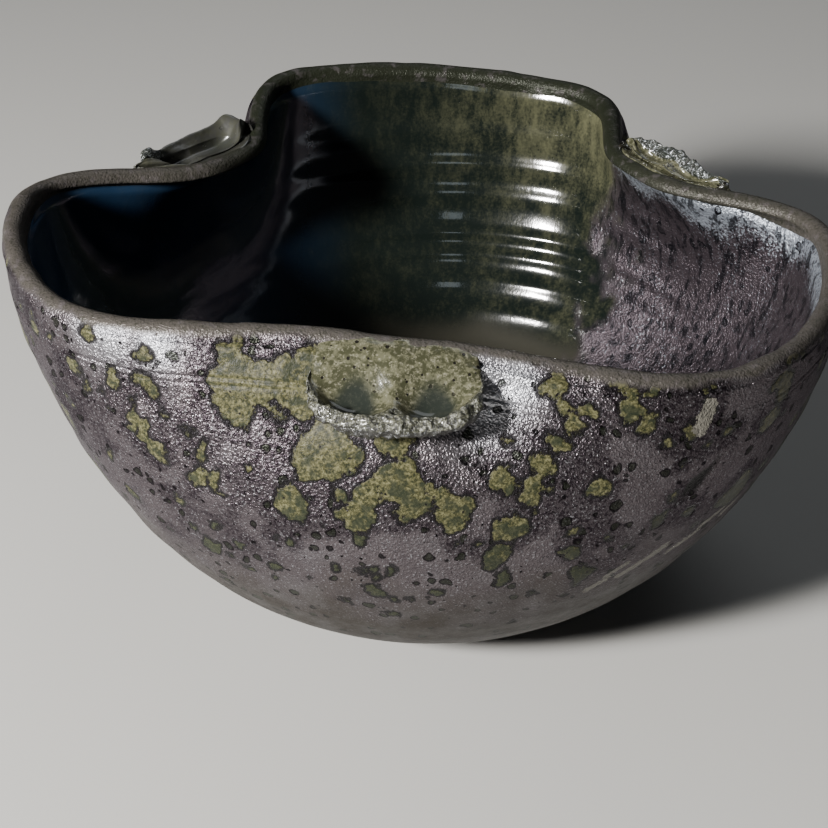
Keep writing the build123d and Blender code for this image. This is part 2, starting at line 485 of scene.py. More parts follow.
@dataclass(frozen=True)
class LustreGlaze:
    """The outside glaze: satin lilac grey with a metallic sparkle, and olive spots in it.

    Attributes:
        lilac: the ground colour on the upper wall.
        dusk: its dark purple, grainy patches.
        frost: its bright crystals.
        sand_and_shade: the duller ground colour near the foot, made dark as painted shade on the lower wall.
        olive: the middle of a spot.
        straw: the light flecks in a spot.
        moss: the dark specks of a spot.
        slate: the grey green of the shaded parts of a spot.
        ink: the thin dark line round a spot.
        lip: the worn glaze on the lip.
        bottle: the dark green glaze that runs over the back of the lip.
        chip: bare patches, and pale streaks low on the right that are painted glints.
        silver: painted sheen, the bright silver colour of patches that stand in for highlights.
    """

    lilac: Colour = (0.112, 0.097, 0.104)
    dusk: Colour = (0.020, 0.015, 0.019)
    frost: Colour = (0.300, 0.300, 0.320)
    sand_and_shade: Colour = (0.022, 0.018, 0.014)
    olive: Colour = (0.042, 0.041, 0.018)
    straw: Colour = (0.120, 0.114, 0.060)
    moss: Colour = (0.011, 0.014, 0.007)
    slate: Colour = (0.014, 0.018, 0.011)
    ink: Colour = (0.004, 0.0035, 0.004)
    lip: Colour = (0.060, 0.054, 0.048)
    bottle: Colour = (0.016, 0.018, 0.012)
    chip: Colour = (0.125, 0.118, 0.100)
    silver: Colour = (0.400, 0.410, 0.440)

    @staticmethod
    def dots(bench: Bench, place: Strand, size: float, chance: float, reach: float) -> Strand:
        """How far a place lies inside the nearest small dot, in millimetres.

        Args:
            bench: the bench.
            place: where it is read.
            size: spacing of the dots.
            chance: the share of them that don't show.
            reach: the largest dot's radius.

        Returns:
            The depth inside the dot, or less than 0 outside it.
        """
        gap, luck = bench.cells(place, size)
        return (luck - chance) * (reach / (1.0 - chance)) - gap

    def ground(
        self, bench: Bench, place: Strand, low: Strand, inwards: Strand
    ) -> Tuple[Strand, Strand, Strand]:
        """The glaze between the spots.

        Args:
            bench: the bench.
            place: where it is read.
            low: how near the foot a place is, from 0 to 1.
            inwards: how far inside a spot it is, in millimetres.

        Returns:
            The colour, how metallic it is, and its relief in millimetres.
        """
        cloud = bench.noise(place, 19.0, 3.0, 0.6)
        grain = bench.noise(place, 0.72, 2.0, 0.65)
        crystals = bench.noise(place, 0.46, 1.0, 0.6)
        painted_sheen = bench.mark("painted_sheen")
        near = inwards.step(-5.5, -0.5)
        grainy = (cloud + near * 0.14 + bench.mark("dusky") * 0.24).step(0.54, 0.68) * (1.0 - low)
        grainy = grainy * (1.0 - painted_sheen)
        pepper = grain.step(0.46, 0.60) * (0.30 + grainy * 0.65) * (1.0 - low * 0.75) * (1.0 - painted_sheen * 0.15)
        # Towards the foot the ground is a duller glaze, darkened as painted shade on the lower wall.
        colour = bench.mix(low, self.lilac, self.sand_and_shade)
        # Painted sheen: bright silver colour in the patches where highlights fall.
        colour = bench.mix(painted_sheen * 0.85, colour, self.silver)
        colour = bench.mix(grainy * 0.55, colour, self.dusk)
        colour = bench.mix(crystals.step(0.60, 0.70) * (0.7 - low * 0.6), colour, self.frost)
        colour = bench.mix(pepper, colour, self.dusk)
        metal = 0.85 - low * 0.78 - pepper * 0.05
        relief = (grain * 0.28 + crystals * 0.30) * (1.0 - low * 0.92)
        return colour, metal, relief

    def make(self) -> bpy.types.Material:
        """Makes the material.

        Returns:
            The material, read in Object coordinates and in the marks spots, lip, dusky, sheen,
            chips and gouge.
        """
        bench = Bench("lustre_glaze")
        place = bench.place
        _, level, height = bench.split(place)
        height = bench.millimetres(height)
        low = (height + (bench.noise(place, 17.0, 2.0, 0.6) - 0.5) * 34.0).step(66.0, 26.0)
        ragged = bench.noise(place, 2.2, 3.0, 0.6)
        lip = bench.mark("lip")
        torn = bench.noise(place, 0.95, 2.0, 0.7)
        inwards = bench.mark("spots") + (ragged - 0.5) * 3.0 + (torn - 0.5) * 0.8
        bent = bench.shift(place, bench.noise(place, 2.4, 1.0, 0.5, "Color"), 2.2)
        dots = self.dots(bench, bent, 3.3, 0.28, 1.25)
        specks = self.dots(bench, bench.offset(bent, (31, 17, 5)), 1.9, 0.30, 0.42)
        colour, metal, relief = self.ground(bench, place, low, inwards)

        inside = inwards.step(-0.05, 0.08)
        edge = abs(inwards + 0.10)
        line = 1.0 - edge.step(0.18, 0.58)
        mottle = bench.noise(place, 0.75, 3.0, 0.8)
        freckle = bench.noise(place, 2.6, 2.0, 0.6)
        depth = inwards.step(0.3, 2.6)
        spot = bench.mix(mottle.step(0.47, 0.66) * 0.85, self.olive, self.straw)
        spot = bench.mix(mottle.step(0.49, 0.38) * 0.9, spot, self.moss)
        shade = (freckle + low * 0.25 + height.step(76.0, 52.0) * 0.16 + depth * 0.06).step(0.52, 0.68)
        spot = bench.mix(shade * 0.8, spot, self.slate)
        colour = bench.mix(inside, colour, spot)
        ring = (1.0 - abs(dots).step(0.06, 0.26)) * (1.0 - inside)
        core = dots.step(0.05, 0.20) * (1.0 - inside)
        colour = bench.mix(core * 0.8, colour, self.slate)
        inked = (line * 0.95).at_least(ring * 0.9).at_least(specks.step(0.0, 0.12))
        colour = bench.mix(inked, colour, self.ink)
        # Bare chips, and pale streaks low on the right that are painted glints.
        pale = (bench.mark("chips_and_glints") + (torn - 0.5) * 2.2).step(-0.10, 0.10)
        colour = bench.mix(pale, colour, self.chip)

        back = bench.millimetres(level).step(5.0, 45.0)
        lip_colour = bench.mix(back, self.lip, self.bottle)
        lip_colour = bench.mix(mottle.step(0.48, 0.66) * 0.6, lip_colour, self.moss)
        lip_colour = bench.mix(freckle.step(0.52, 0.74) * 0.35, lip_colour, self.lilac)
        colour = bench.mix(lip, colour, lip_colour)
        gouge = bench.mark("gouge")
        colour = bench.mix(gouge, colour, self.ink)

        relief = relief * (1.0 - inside) + mottle * inside * 0.14 + depth * 0.10 + inside * 0.06 - line * 0.12
        relief = relief - core * 0.05
        bare = inside.at_least(line).at_least(pale).at_least(gouge)
        rough = 0.33 + (ragged - 0.5) * 0.25 + low * 0.16 + inside * 0.05 + lip * 0.03
        return bench.finish(
            Base_Color=colour,
            Roughness=rough,
            Metallic=metal * (1.0 - bare) * (1.0 - lip * 0.7),
            Normal=bench.bump(relief * (1.0 - lip * 0.4)),
            Specular_IOR_Level=0.22,
            Specular_Tint=(0.45, 0.43, 0.46),
        )


@dataclass(frozen=True)
class LinerGlaze:
    """The inside glaze: glossy green-black with olive mottling, and lustre in one lobe.

    Attributes:
        deep: the ground.
        navy_painted_reflection: the ground on the left, tinted blue as a painted reflection.
        olive: the mottling.
        clay: the thin, smooth glaze low down.
        plum: the lustre's ground.
        steel: its blue bloom near the lip.
        ink: its dark specks.
    """

    deep: Colour = (0.0045, 0.0066, 0.0056)
    navy_painted_reflection: Colour = (0.0100, 0.0260, 0.0550)
    olive: Colour = (0.078, 0.078, 0.044)
    clay: Colour = (0.034, 0.032, 0.024)
    plum: Colour = (0.060, 0.048, 0.056)
    steel: Colour = (0.380, 0.420, 0.480)
    ink: Colour = (0.006, 0.006, 0.009)

    def make(self) -> bpy.types.Material:
        """Makes the material.

        Returns:
            The material, read in Object coordinates and in the marks lustre, band and low.
        """
        bench = Bench("liner_glaze")
        place = bench.place
        across, _, tall = bench.split(place)
        across, tall = bench.millimetres(across), bench.millimetres(tall)
        runs = bench.stretch(place, (1.0, 1.0, 0.38))
        cloud = bench.noise(runs, 12.0, 4.0, 0.6)
        mottle = bench.noise(runs, 2.4, 3.0, 0.7)
        fine = bench.noise(place, 0.7, 2.0, 0.7)
        lustre, band, low = bench.mark("lustre"), bench.mark("band"), bench.mark("low")
        side = across.step(-35.0, 45.0)
        high = tall.step(45.0, 88.0)
        rich = (cloud * 0.40 + mottle * 0.40 + fine * 0.25 + side * high * 0.12).step(0.46, 0.80)
        # Painted reflection: the ground turns navy blue towards the left of the bowl.
        ground = bench.mix(across.step(-60.0, -25.0), self.navy_painted_reflection, self.deep)
        colour = bench.mix(rich * (0.12 + side * 0.40 + side * high * 0.45) * (1.0 - low), ground, self.olive)
        colour = bench.mix(low * 0.8, colour, self.clay)

        streaks = bench.noise(bench.stretch(place, (1.0, 1.0, 0.3)), 2.2, 3.0, 0.75)
        bent = bench.shift(place, bench.noise(place, 3.0, 1.0, 0.5, "Color"), 3.0)
        dots = LustreGlaze.dots(bench, bench.stretch(bent, (1.0, 1.0, 0.7)), 4.6, 0.40, 1.5)
        bloom = (band * 0.85 + (cloud - 0.5) * 0.9 + (fine - 0.5) * 2.6).step(0.25, 0.95)
        shine = bench.mix(bloom, self.plum, self.steel)
        shine = bench.mix(streaks.step(0.48, 0.62) * 0.85, shine, self.ink)
        ringed = (1.0 - abs(dots).step(0.08, 0.30)).at_least(dots.step(0.1, 0.3) * 0.6)
        shine = bench.mix(ringed, shine, self.ink)
        colour = bench.mix(lustre, colour, shine)
        relief = mottle * 0.04 + lustre * (fine * 0.48 + mottle * 0.06)
        return bench.finish(
            Base_Color=colour,
            Roughness=0.11 + lustre * 0.25 + low * 0.10 + (fine - 0.5) * 0.05,
            Metallic=lustre * 0.75,
            Normal=bench.bump(relief),
            Coat_Weight=0.2 - lustre * 0.2,
            Coat_Roughness=0.05,
        )


@dataclass(frozen=True)
class LugGlaze:
    """The lugs' glaze: crusty olive and cream on the crest, glossy grey-green in the presses.

    Attributes:
        cream, straw, olive: the crust, from its light flecks to its ground.
        smoke: the smooth glaze where there is no crust.
        pool: the glossy glaze pooled in the thumb presses, darkened as painted shade in these hollows; also
            the dark ground of the silvery crust.
        silver: the lustre on the crust of the two back lugs.
        ink: pits and cracks, and the dark crust line and painted shade under the lug.
    """

    cream: Colour = (0.32, 0.30, 0.23)
    straw: Colour = (0.078, 0.077, 0.048)
    olive: Colour = (0.032, 0.033, 0.018)
    smoke: Colour = (0.029, 0.029, 0.026)
    pool: Colour = (0.013, 0.016, 0.014)
    silver: Colour = (0.55, 0.58, 0.62)
    ink: Colour = (0.007, 0.006, 0.005)

    def make(self) -> bpy.types.Material:
        """Makes the material.

        Returns:
            The material, read in Object coordinates and in the marks pool, crust, bare, soot
            and silver.
        """
        bench = Bench("lug_glaze")
        place = bench.place
        pooled, silvery, bare = bench.mark("pool"), bench.mark("silver"), bench.mark("bare")
        crust = bench.mark("crust").step(0.1, 0.6)
        coarse = bench.noise(place, 2.0, 3.0, 0.7)
        grit = bench.noise(place, 0.75, 3.0, 0.8)
        pits = LustreGlaze.dots(bench, place, 1.5, 0.20, 0.50).step(0.0, 0.10)
        colour = bench.mix((coarse + (grit - 0.5) * 0.7).step(0.40, 0.60), self.olive, self.straw)
        colour = bench.mix(grit.step(0.52, 0.70) * (0.35 + crust * 0.65), colour, self.cream)
        colour = bench.mix(grit.step(0.50, 0.42) * crust, colour, self.ink)
        plain = bench.mix(coarse.step(0.4, 0.6) * 0.4, self.smoke, self.olive)
        colour = bench.mix(silvery * 0.85, colour, self.pool)
        colour = bench.mix(bare, colour, plain)
        # A dark crust line with painted shade: the lower outer face and the underside of each lug are
        # darkened.
        crust_and_shade_share = (bench.mark("underside_crust_and_shade") + (grit - 0.5) * 1.6).step(0.4, 0.7)
        colour = bench.mix(crust_and_shade_share * 0.9, colour, self.ink)
        glint = grit.step(0.55, 0.62) * silvery
        colour = bench.mix(glint, colour, self.silver)
        # The pooled glaze on the press floors is darkened as painted shade in the hollows.
        colour = bench.mix(pooled.step(0.1, 0.9) * 0.92, colour, self.pool)
        colour = bench.mix(pits * (1.0 - pooled * 0.8) * (1.0 - bare) * 0.95, colour, self.ink)
        relief = grit * (0.03 + crust * 0.5) * (1.0 - pooled * 0.95) - pits * 0.25 * (1.0 - pooled)
        return bench.finish(
            Base_Color=colour,
            Roughness=0.14 + crust * 0.26 + bare * 0.2 - pooled * 0.05 - silvery * 0.14,
            Metallic=glint * 0.9,
            Normal=bench.bump(relief),
            Coat_Weight=0.4,
            Coat_Roughness=0.12,
        )


@dataclass(frozen=True)
class FiredClay:
    """Bare fired clay, matt, with fine grog.

    Attributes:
        body: its light colour.
        shade: its dark colour.
    """

    body: Colour = (0.36, 0.25, 0.19)
    shade: Colour = (0.20, 0.13, 0.10)

    def make(self) -> bpy.types.Material:
        """Makes the material.

        Returns:
            The material, read in Object coordinates.
        """
        bench = Bench("fired_clay")
        grog = bench.noise(bench.place, 0.8, 4.0, 0.7)
        cloud = bench.noise(bench.place, 11.0, 3.0, 0.6)
        colour = bench.mix(grog.step(0.35, 0.7) * 0.6 + cloud * 0.3, self.body, self.shade)
        return bench.finish(Base_Color=colour, Roughness=0.8, Normal=bench.bump(grog * 0.15))


# --------------------------------------------------------------------------------------------
# The bowl's form
# --------------------------------------------------------------------------------------------


class Place(Enum):
    """The three places where the rim is pressed in."""

    FRONT = "front"
    BACK_LEFT = "back_left"
    BACK_RIGHT = "back_right"


@dataclass(frozen=True)
class Press:
    """One place where the rim was pressed in.

    Attributes:
        place: which of the three it is.
        angle: where it is, in degrees.
        depth: how far the rim is pushed in.
        reach_left: how far it spreads anticlockwise, in degrees.
        reach_right: how far it spreads clockwise, in degrees.
        rim_drop: how far it takes the rim down; less than 0 raises it.
        sharpness: how square its sides are; it is the power of the turn in the formula.
    """

    place: Place
    angle: float
    depth: float
    reach_left: float
    reach_right: float
    rim_drop: float
    sharpness: float = 3.0

    def share(self, angle: Array) -> Array:
        """How much of this press is felt at an angle.

        Formula: e to the minus turn away from the press, in reaches, to the sharpness power.

        Args:
            angle: degrees around the bowl.

        Returns:
            The share, from 0 to 1.
        """
        turn = turn_from(angle, self.angle)
        reach = np.where(turn > 0, self.reach_left, self.reach_right)
        return np.exp(-(np.abs(turn / reach) ** self.sharpness))


PRESSES = (
    Press(Place.FRONT, 270.0, 25.5, 36.7, 38.2, -4.2),
    Press(Place.BACK_LEFT, 148.5, 31.2, 24.0, 19.1, 5.7),
    Press(Place.BACK_RIGHT, 40.2, 29.5, 18.7, 21.5, 0.0),
)


@dataclass(frozen=True)
class BowlForm:
    """The form that every piece is laid on. Its sizes are the CAD model's.

    Attributes:
        lobe_radius: outside radius of the three lobes.
        rim: mean height of the rim.
        wall: thickness of the wall, level and square to it.
        bottom_radius: radius of the flat underside.
        floor: thickness of the floor.
        foot_height: height of the underside above the table.
        flare, belly: shape of the thrown profile.
        fade: how a press fades towards the foot.
        tilt, tilt_angle: how much the rim leans, and the angle of its high side.
    """

    lobe_radius: float = 95.0
    rim: float = 93.5
    wall: float = 5.2
    bottom_radius: float = 39.0
    floor: float = 7.0
    foot_height: float = 4.0
    flare: float = 1.81
    belly: float = 0.663
    fade: float = 3.0
    tilt: float = 4.3
    tilt_angle: float = 186.5

    def rim_height(self, angle: Array) -> Array:
        """Height of the rim at an angle: the mean, plus the lean, less each press's drop."""
        lean = self.tilt * np.cos(np.radians(angle - self.tilt_angle))
        return self.rim + lean - sum(press.rim_drop * press.share(angle) for press in PRESSES)

    def bottom(self, inset: Array) -> Array:
        """Height at which a wall surface ends below.

        Formula: it goes straight from the underside's height, at no inset, to the floor's height,
        at the wall's thickness, and then up by what the inset has beyond that.

        Args:
            inset: how far in the surface lies from the outside wall.

        Returns:
            The height in millimetres.
        """
        inner = self.foot_height + self.floor + inset - self.wall
        part = np.clip(inset / self.wall, 0.0, 1.0)
        return self.foot_height + (inner - self.foot_height) * part

    def radius(self, angle: Array, share: Array) -> Array:
        """Radius of the outside wall.

        Formula: the thrown radius, from the underside's to the lobes', goes with one less the
        flare power of what is left of the height, to the belly power. Each press takes off its
        depth, times its share, times the height share to the fade power.

        Args:
            angle: degrees around the bowl.
            share: height share, from 0 at the underside to 1 at the rim.

        Returns:
            The radius in millimetres.
        """
        share = np.clip(share, 0.0, 1.0)
        swell = np.clip(1.0 - (1.0 - share) ** self.flare, 0.0, 1.0) ** self.belly
        thrown = self.bottom_radius + (self.lobe_radius - self.bottom_radius) * swell
        pressed = sum(press.depth * press.share(angle) for press in PRESSES)
        return thrown - share**self.fade * pressed

    def share_at(self, angle: Array, height: Array, inset: Array = 0.0) -> Array:
        """The height share of a height, on a wall surface at an inset."""
        bottom = self.bottom(inset)
        return (height - bottom) / (self.rim_height(angle) - bottom)

    def lay(self, angle: Array, share: Array, inset: Array, height: Array) -> Array:
        """Points at an inset from the wall, level and square to its outline.

        Args:
            angle: degrees around the bowl.
            share: the height share that the wall is read at.
            inset: how far in from the outside wall; less than 0 stands proud of it.
            height: the points' heights.

        Returns:
            The points in millimetres.
        """
        step = 0.1
        radius = self.radius(angle, share)
        change = self.radius(angle + step, share) - self.radius(angle - step, share)
        turn = np.radians(angle)
        lean = turn - np.arctan2(change / np.radians(2.0 * step), radius)
        x = radius * np.cos(turn) - inset * np.cos(lean)
        y = radius * np.sin(turn) - inset * np.sin(lean)
        return np.stack(np.broadcast_arrays(x, y, height), axis=-1)


FORM = BowlForm()


def around(count: int) -> Array:
    """Evenly spaced angles round the bowl, in degrees, as one row."""
    return (np.arange(count) * FULL_TURN / count)[None, :]


@dataclass(frozen=True)
class SpotField:
    """Where the olive glaze lies on the outside.

    Attributes:
        clumps: the large spots on the front, clump by clump: the angle and height of its middle,
            how far it reaches round and up, how many spots it has, and the radius of its largest.
        count: how many more are scattered over the rest of the wall.
        drops: how many small ones are scattered all over it.
        free: the angles that they keep clear of, where the large ones are.
        seed: which scatter it is.
        lobe_reach: how far a lobe's middle is from its spot's, in the spot's radii.
        outline: how far noise moves a spot's outline.
        outside: the depth given to places far from any spot.
    """

    clumps: Tuple[Tuple[float, float, float, float, int, float], ...] = (
        (266, 80, 8, 9, 11, 4.8), (253, 90, 7, 6, 8, 4.6), (268, 68, 13, 4, 7, 3.6), (240, 72, 8, 7, 7, 2.8),
        (230, 90, 9, 5, 6, 2.3), (248, 54, 10, 6, 7, 1.9), (273, 46, 9, 5, 6, 1.7), (303, 89, 8, 5, 7, 3.0),
        (291, 76, 9, 6, 7, 2.5), (292, 56, 9, 9, 6, 2.7), (313, 66, 5, 18, 5, 2.0),
    )
    count: int = 190
    drops: int = 380
    free: Tuple[float, float] = (222.0, 318.0)
    seed: int = 11
    lobe_reach: float = 0.78
    outline: float = 0.9
    outside: float = -6.0

    def clumped(self) -> Array:
        """The spots of the clumps, as angle, height and radius.

        Formula: a spot lies anywhere within its clump's reach, evenly, and its radius is from 0.45
        of the largest up to the largest.

        Returns:
            The spots, one to a row.
        """
        chance = np.random.default_rng(self.seed + 1)
        spots = []
        for angle, height, across, up, count, largest in self.clumps:
            turn = angle + across * (2.0 * chance.random(count) - 1.0)
            level = height + up * (2.0 * chance.random(count) - 1.0)
            spots.append(np.stack([turn, level, largest * (0.45 + 0.55 * chance.random(count))], axis=1))
        return np.concatenate(spots)

    def scatter(self) -> Array:
        """All the spots, as angle, height and radius.

        Formula: heights are spread so that fewer lie low on the wall, radii so that few are large,
        and every spot has two smaller lobes beside it, at about three quarters of its radius.

        Returns:
            The spots and their lobes, one to a row.
        """
        chance = np.random.default_rng(self.seed)
        room = FULL_TURN - self.free[1] + self.free[0]
        turn = (self.free[1] + chance.random(self.count) * room) % FULL_TURN
        height = 22.0 + 74.0 * chance.random(self.count) ** 0.75
        radius = 1.2 + 3.6 * chance.random(self.count) ** 2.4
        drops = np.stack([
            FULL_TURN * chance.random(self.drops),
            30.0 + 66.0 * chance.random(self.drops) ** 0.8,
            0.7 + 1.2 * chance.random(self.drops) ** 2,
        ], axis=1)
        scattered = np.stack([turn, height, radius], axis=1)
        spots = np.concatenate([self.clumped(), scattered, drops])
        lobes = [spots]
        for _ in range(2):
            way = chance.random(len(spots)) * 2.0 * np.pi
            reach = spots[:, 2] * self.lobe_reach
            width = FORM.radius(spots[:, 0], FORM.share_at(spots[:, 0], spots[:, 1]))
            beside = spots.copy()
            beside[:, 0] += np.degrees(np.cos(way) * reach / width)
            beside[:, 1] += np.sin(way) * reach
            beside[:, 2] *= 0.45 + 0.25 * chance.random(len(spots))
            lobes.append(beside)
        return np.concatenate(lobes)

    def at(self, points: Array) -> Array:
        """How far each point lies inside a spot, in millimetres, and less than 0 outside.

        Formula: the largest, over all the spots, of the spot's radius less the distance to its
        middle, read at places that are moved by noise, so that the outlines are uneven.

        Args:
            points: places on the outside of the wall.

        Returns:
            The depth.
        """
        push = np.stack([LatticeNoise(4.2, 71 + axis).at(points) for axis in range(3)], axis=-1)
        moved = points + self.outline * push
        depth = np.full(points.shape[:-1], self.outside)
        for angle, height, radius in self.scatter():
            share = FORM.share_at(angle, min(height, FORM.rim_height(angle) - 1.5))
            middle = FORM.lay(angle, share, 0.0, FORM.foot_height + share * (FORM.rim_height(angle) - 4.0))
            depth = np.maximum(depth, radius - np.linalg.norm(moved - middle, axis=-1))
        return depth


def present(piece: bpy.types.Object, material: bpy.types.Material, nodes: Sequence[str]) -> None:
    """Dresses a piece, fixes it to the frame and reports it.

    Args:
        piece: the finished piece.
        material: its finish.
        nodes: the CAD nodes that it stands for.
    """
    piece.data.materials.append(material)
    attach(piece, "root")
    for node in nodes:
        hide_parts(node)
    triangles = sum(len(face.vertices) - 2 for face in piece.data.polygons)
    LOG.info("%s: %d triangles, stands for %s", piece.name, triangles, ", ".join(nodes))


@dataclass(frozen=True)
class ThrownBowl:
    """The clay wall and floor.

    Attributes:
        columns: points round the bowl.
        lip_rows, inside_rows: rows over the lip and down the inside wall.
        inside_top: the height share at which the inside wall starts below the lip.
        groove_drop: how far the incised double line lies below the rim.
        groove_gap: distance between its two lines.
        groove_depth: how deep each is.
        groove_width: half the width of each.
        rings: height of the soft throwing rings on the outside.
        dents: the soft dents beside the front lug: angle, reach in degrees and depth of each.
        dent_drop: how far below the rim a dent starts and is full, and starts to end and has ended.
        scratch: the two ends of the gouge on the right, each by its angle and height.
        scratch_half, scratch_depth: half its width at its middle, and its depth.
        chip: the two ends of the chipped patch below the rim.
        chip_half: half its width.
        painted_glints: how many short pale streaks low on the right there are; they are painted glints.
        painted_glint_seed: which chance places them.
        painted_glint_from: angle and height where their climb starts.
        painted_glint_climb: how far it goes round and up.
        painted_glint_jitter: how far chance moves a mark round and up.
        painted_glint_way: how far a mark itself goes round and up.
        painted_glint_half: half the width of the thinnest mark, and how much chance may add.
        dusky: the middles of the dark, grainy places, each by its angle and height, and their reach.
        silvery: the middles of the painted sheen, bright silver patches where highlights fall, in the same
            way.
    """

    columns: int = 720
    lip_rows: int = 19
    inside_rows: int = 16
    inside_top: float = 0.965
    groove_drop: float = 8.6
    groove_gap: float = 1.3
    groove_depth: float = 0.4
    groove_width: float = 0.32
    rings: float = 0.22
    dents: Tuple[Tuple[float, float, float], ...] = ((283.5, 6.0, 2.5), (259.5, 5.0, 1.0))
    dent_drop: Tuple[float, float, float, float] = (1.0, 6.0, 10.0, 26.0)
    scratch: Tuple[Spot, Spot] = ((312.0, 62.0), (317.0, 71.0))
    scratch_half: float = 2.1
    scratch_depth: float = 0.5
    chip: Tuple[Spot, Spot] = ((314.0, 86.0), (313.0, 81.0))
    chip_half: float = 1.9
    painted_glints: int = 8
    painted_glint_seed: int = 31
    painted_glint_from: Spot = (298.0, 39.0)
    painted_glint_climb: Spot = (28.0, 6.0)
    painted_glint_jitter: Spot = (2.0, 6.0)
    painted_glint_way: Spot = (3.0, 2.5)
    painted_glint_half: Tuple[float, float] = (0.8, 0.3)
    dusky: Tuple[Cloud, ...] = (
        ((245.5, 86.0), 9.5), ((257.5, 77.0), 9.0), ((263.0, 73.0), 7.0), ((298.0, 82.0), 9.0),
        ((294.0, 75.0), 8.0),
    )
    silvery: Tuple[Cloud, ...] = (
        ((285.0, 90.0), 8.5), ((289.0, 92.0), 6.0), ((229.0, 96.0), 6.5), ((236.0, 95.0), 5.0),
        ((120.0, 80.0), 9.0), ((95.0, 70.0), 8.0), ((20.0, 85.0), 8.0), ((165.0, 84.0), 7.0),
    )

    def outside_shares(self) -> Array:
        """Height shares of the outside rows, closer together by the groove and near the foot.

        Returns:
            The shares, as one column.
        """
        low = np.linspace(0.0, 1.0, 66) ** 1.25 * 0.875
        fine = np.linspace(0.88, 0.935, 22)
        top = np.linspace(0.94, 0.972, 5)
        return np.concatenate([low, fine, top])[:, None]

    def outside(self) -> Array:
        """Rows up the outside wall.

        Formula: the wall, moved in or out by soft throwing rings (a sum of two waves in height that
        drift round the bowl), by slow noise, by the two incised lines below the rim, by a soft dent
        on each side of the front lug, and by the gouge.

        Returns:
            The rows.
        """
        angle = around(self.columns)
        share = self.outside_shares()
        rim = FORM.rim_height(angle)
        bottom = FORM.foot_height
        height = bottom + share * (rim - bottom)
        flat = FORM.lay(angle, share, 0.0, height)
        turn = np.radians(angle)
        waves = np.sin(height / 1.35 + 1.3 * np.sin(turn)) + 0.7 * np.sin(height / 2.3 + 2.0 * np.cos(turn))
        slow = LatticeNoise(21.0, 3).at(flat) * 0.55 + LatticeNoise(9.0, 5).at(flat) * 0.22
        calm = smooth(share, 0.0, 0.15) * smooth(share, 0.975, 0.93)
        drift = 0.5 * np.sin(turn * 2.0 + 0.7) + 0.25 * np.sin(turn * 5.0)
        drop = rim - height
        cut = bell(drop, self.groove_drop + drift, self.groove_width)
        cut = cut + 0.8 * bell(drop, self.groove_drop + drift + self.groove_gap, self.groove_width)
        worn = 0.55 + 0.45 * LatticeNoise(14.0, 8).at(flat)
        inset = self.groove_depth * cut * worn - calm * (self.rings * waves * 0.35 + slow)
        dent = sum(depth * bell(angle, middle, reach) for middle, reach, depth in self.dents)
        starts, full, fades, ends = self.dent_drop
        inset = inset + dent * smooth(drop, starts, full) * smooth(drop, ends, fades)
        return FORM.lay(angle, share, inset + self.scratch_depth * self.gouge(flat), height)

    @staticmethod
    def away(points: Array, first: Spot, second: Spot) -> Tuple[Array, Array]:
        """How far points are from the straight line between two places on the wall.

        Args:
            points: where it is read.
            first: the line's one end, as angle and height.
            second: its other end.

        Returns:
            The distance in millimetres, and how far along the line the nearest place is, from 0 to 1.
        """
        ends = [FORM.lay(spot[0], FORM.share_at(*spot), 0.0, spot[1]) for spot in (first, second)]
        way = ends[1] - ends[0]
        part = np.clip(((points - ends[0]) @ way) / max(way @ way, 1e-6), 0.0, 1.0)
        return np.linalg.norm(points - ends[0] - part[..., None] * way, axis=-1), part

    def chips_and_glints_at(self, points: Array) -> Array:
        """How far each point lies inside a chip or a painted glint, in millimetres.

        Formula: half the mark's width, less the distance to the line between its ends. The painted
        glints lie evenly along a slow climb round the wall, each moved by chance.

        Args:
            points: where it is read.

        Returns:
            The depth, which is less than 0 outside every mark.
        """
        chance = np.random.default_rng(self.painted_glint_seed)
        depth = self.chip_half - self.away(points, *self.chip)[0]
        for place in (np.arange(self.painted_glints) + 0.5) / self.painted_glints:
            angle = self.painted_glint_from[0] + self.painted_glint_climb[0] * place + self.painted_glint_jitter[0] * chance.random()
            height = self.painted_glint_from[1] + self.painted_glint_climb[1] * place + self.painted_glint_jitter[1] * chance.random()
            end = (angle + self.painted_glint_way[0], height + self.painted_glint_way[1])
            gap, _ = self.away(points, (angle, height), end)
            depth = np.maximum(depth, self.painted_glint_half[0] + self.painted_glint_half[1] * chance.random() - gap)
        return depth

    def clouds(self, points: Array, middles: Tuple[Cloud, ...]) -> Array:
        """How cloudy each point is.

        Formula: the largest of the bells round the middles given, raised and lowered by noise.

        Args:
            points: where it is read.
            middles: each cloud's middle and reach.

        Returns:
            The share, from 0 to 1.
        """
        lumps = 0.35 * LatticeNoise(5.0, 27).at(points)
        bells = [bell(self.away(points, middle, middle)[0], 0.0, reach) for middle, reach in middles]
        return np.clip(np.max(bells, axis=0) * (1.0 + lumps) + 0.2 * lumps, 0.0, 1.0)

    def gouge(self, points: Array) -> Array:
        """The slanting scratch low on the right, from 0 to 1.

        Formula: a smooth step of the distance to the straight line between its two ends, less a
        width that tapers towards both ends and that noise changes.

        Args:
            points: where it is read.

        Returns:
            The share, from 0 to 1.
        """
        gap, part = self.away(points, *self.scratch)
        width = self.scratch_half * np.sin(np.pi * np.clip(part, 0.10, 0.90))
        width = width + 0.5 * LatticeNoise(2.5, 23).at(points)
        return smooth(gap - width, 0.35, -0.25)

